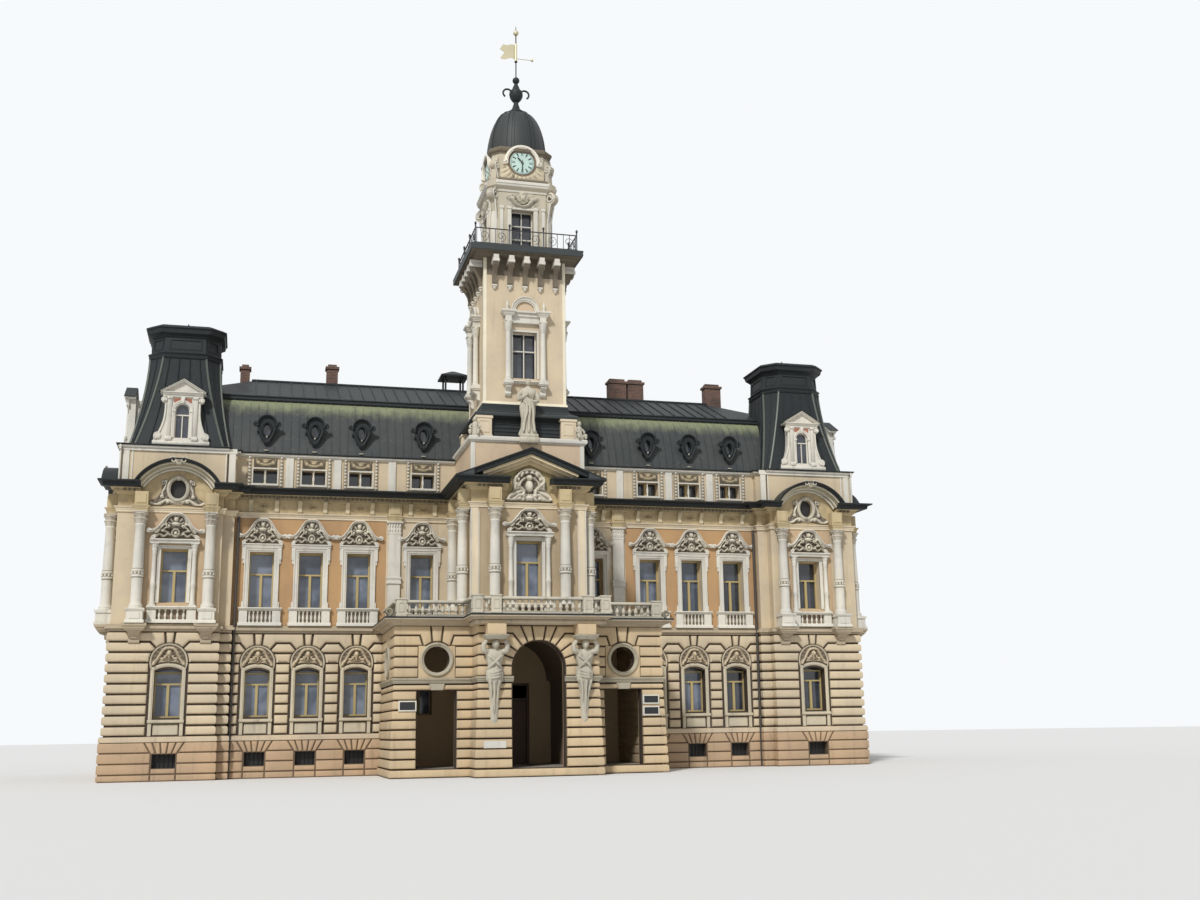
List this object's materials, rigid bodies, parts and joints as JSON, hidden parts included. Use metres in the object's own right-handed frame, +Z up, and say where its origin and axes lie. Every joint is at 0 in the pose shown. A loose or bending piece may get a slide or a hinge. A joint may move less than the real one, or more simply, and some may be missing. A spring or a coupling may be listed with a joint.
{
  "type": "town hall building",
  "caption": "Two-storey town hall with corner pavilions, mansard roofs, a columned middle bay over an arched portico, and a clock tower with gallery, dome and weather vane.",
  "frame": {"origin": "on the ground, on the axis of symmetry, in the plane of the outer face of the wing walls", "axes": "+X along the main front to the right as seen from the square, +Y into the building, +Z up; the main front faces -Y"},
  "size_m": [35.6, 23.23, 35.5],
  "materials": {
    "stucco": "matt lime render",
    "base_stone": "matt dressed stone",
    "white_stone": "matt stucco ornament",
    "floor_stone": "worn stone floor",
    "roof_metal": "weathered dark sheet metal with seams",
    "brick": "fired brick",
    "ochre_wood": "ochre oil paint",
    "oak": "dark oiled oak",
    "glass": "clear window glass",
    "iron": "black paint",
    "dial_enamel": "pale enamel",
    "gilt": "pale gilding",
    "pipe_metal": "painted pipe"
  },
  "bodies": {
    "building": {"plinth": "base_stone", "front_wall_left": "stucco", "front_wall_right": "stucco", "pavilion_walls_front_left": "stucco", "pavilion_walls_front_right": "stucco", "pavilion_walls_rear_left": "stucco", "pavilion_walls_rear_right": "stucco", "side_walls": "stucco", "rear_wall": "stucco", "ground_floor": "floor_stone", "first_floor": "floor_stone", "second_floor": "floor_stone", "loft_floor": "floor_stone", "risalit_walls": "stucco", "portico_walls": "stucco", "portico_vault": "white_stone", "portico_floor": "floor_stone", "portico_roof": "white_stone", "herm_figures": "white_stone", "balustrades": "white_stone", "entrance_piers": "stucco", "entrance_lintel": "stucco", "entrance_frame": "oak", "band_course": "white_stone", "large_columns": "white_stone", "wing_pilasters": "white_stone", "window_surrounds": "white_stone", "window_frames": "ochre_wood", "window_glass": "glass", "main_cornice": "white_stone", "arched_pediments": "white_stone", "risalit_pediment": "roof_metal", "mansard_roof": "roof_metal", "upper_roof": "roof_metal", "pavilion_roofs": "roof_metal", "pavilion_roof_caps": "roof_metal", "stone_dormers": "white_stone", "round_dormers": "roof_metal", "chimneys": "brick", "roof_canopy": "roof_metal", "tower_base": "stucco", "skirt_roof": "roof_metal", "statue": "white_stone", "corner_figures": "white_stone", "tower_shaft": "stucco", "shaft_front": "stucco", "shaft_aedicules": "white_stone", "gallery_slab": "white_stone", "gallery_railing": "iron", "clock_storey": "white_stone", "clock_hoods": "white_stone", "clock_dials": "dial_enamel", "dome": "roof_metal", "finial": "roof_metal", "downpipes": "pipe_metal"},
    "door_left": {"door_leaf_left": "oak"},
    "door_right": {"door_leaf_right": "oak"},
    "hour": {"hour_hand": "iron"},
    "minute": {"minute_hand": "iron"},
    "vane": {"weather_vane": "gilt"}
  },
  "joints": [
    {"name": "door_left_hinge", "type": "hinge", "parent": "building", "child": "door_left", "pos_m": [-0.85, 0.33, 0.36], "axis": [0, 0, 1], "range_deg": [0, 90]},
    {"name": "door_right_hinge", "type": "hinge", "parent": "building", "child": "door_right", "pos_m": [0.85, 0.33, 0.36], "axis": [0, 0, -1], "range_deg": [0, 90]},
    {"name": "minute_turn", "type": "hinge", "parent": "building", "child": "minute", "pos_m": [0, -3.385, 27.7], "axis": [0, 1, 0], "continuous": true},
    {"name": "hour_turn", "type": "hinge", "parent": "building", "child": "hour", "pos_m": [0, -3.365, 27.7], "axis": [0, 1, 0], "continuous": true},
    {"name": "vane_turn", "type": "hinge", "parent": "building", "child": "vane", "pos_m": [0, -1.92, 33.78], "axis": [0, 0, 1], "continuous": true}
  ],
  "couplings": [
    {"joint": "hour_turn", "follows": "minute_turn", "ratio": 0.083333}
  ]
}
